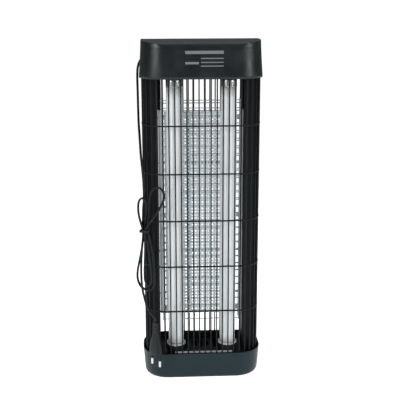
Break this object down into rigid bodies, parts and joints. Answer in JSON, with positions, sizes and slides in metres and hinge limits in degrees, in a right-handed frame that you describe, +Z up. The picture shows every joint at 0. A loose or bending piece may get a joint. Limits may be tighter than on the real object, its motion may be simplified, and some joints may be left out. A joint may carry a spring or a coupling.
{
  "type": "electric insect killer lamp",
  "caption": "Upright free-standing insect killer: a hood over a barred guard round two upright UV lamps and a high-voltage grid, on a lift-off catch tray, with a tied mains cord.",
  "frame": {"origin": "centre of the standing face, under the catch tray, without the cord", "axes": "+Z up along the height, -Y towards the front with the lamps, +X to the right seen from the front"},
  "size_m": [0.2102, 0.146, 0.557],
  "materials": {
    "hood_plastic": "satin moulded ABS",
    "black_plastic": "satin moulded ABS",
    "tray_plastic": "satin moulded ABS",
    "lamp_glass": "frosted by the phosphor inside",
    "lamp_cap_metal": "satin",
    "holder_resin": "matt moulded resin",
    "collar_resin": "translucent natural resin",
    "grid_steel": "bright galvanised",
    "rail_resin": "matt moulded resin",
    "core_steel": "lacquered laminations",
    "winding_copper": "enamelled copper wire",
    "starter_shell": "smooth",
    "terminal_resin": "matt",
    "screw_zinc": "bright zinc plated",
    "cord_pvc": "satin PVC",
    "pin_nickel": "nickel plated",
    "lead_pvc": "PVC insulation"
  },
  "bodies": {
    "lamp_body": {"ballast_core": "core_steel", "ballast_winding": "winding_copper", "column_screw_lower_left": "screw_zinc", "column_screw_lower_right": "screw_zinc", "column_screw_upper_left": "screw_zinc", "column_screw_upper_right": "screw_zinc", "cord_gland": "cord_pvc", "cord_hank": "cord_pvc", "cord_supply": "cord_pvc", "cord_tail": "cord_pvc", "cord_tie": "cord_pvc", "grid_centre": "grid_steel", "grid_front": "grid_steel", "grid_rail_left": "rail_resin", "grid_rail_right": "rail_resin", "grid_rear": "grid_steel", "guard_end_left": "black_plastic", "guard_end_right": "black_plastic", "guard_front": "black_plastic", "guard_rear": "black_plastic", "hood_screw_1": "screw_zinc", "hood_screw_2": "screw_zinc", "hood_screw_3": "screw_zinc", "hood_screw_4": "screw_zinc", "lamp_collar_left": "collar_resin", "lamp_collar_right": "collar_resin", "lamp_lead_left": "lead_pvc", "lamp_lead_right": "lead_pvc", "lampholder_lower_left": "holder_resin", "lampholder_lower_right": "holder_resin", "lampholder_upper_left": "holder_resin", "lampholder_upper_right": "holder_resin", "lower_deck": "black_plastic", "plug_body": "cord_pvc", "plug_pin_left": "pin_nickel", "plug_pin_right": "pin_nickel", "side_column_left": "black_plastic", "side_column_right": "black_plastic", "starter_left": "starter_shell", "starter_right": "starter_shell", "terminal_block": "terminal_resin", "top_hood": "hood_plastic", "transformer_core": "core_steel", "transformer_winding": "winding_copper", "upper_deck": "black_plastic"},
    "tray": {"catch_tray": "tray_plastic"},
    "lamp_left": {"lamp_glass_left": "lamp_glass", "lamp_cap_lower_left": "lamp_cap_metal", "lamp_cap_upper_left": "lamp_cap_metal"},
    "lamp_right": {"lamp_glass_right": "lamp_glass", "lamp_cap_lower_right": "lamp_cap_metal", "lamp_cap_upper_right": "lamp_cap_metal"}
  },
  "joints": [
    {"name": "tray_drop", "type": "slide", "parent": "lamp_body", "child": "tray", "axis": [0, 0, -1], "range_m": [0, 0.06]},
    {"name": "lamp_twist_left", "type": "hinge", "parent": "lamp_body", "child": "lamp_left", "pos_m": [-0.043, -0.024, 0.2685], "axis": [0, 0, 1], "range_deg": [0, 90]},
    {"name": "lamp_twist_right", "type": "hinge", "parent": "lamp_body", "child": "lamp_right", "pos_m": [0.043, -0.024, 0.2685], "axis": [0, 0, 1], "range_deg": [0, 90]}
  ]
}
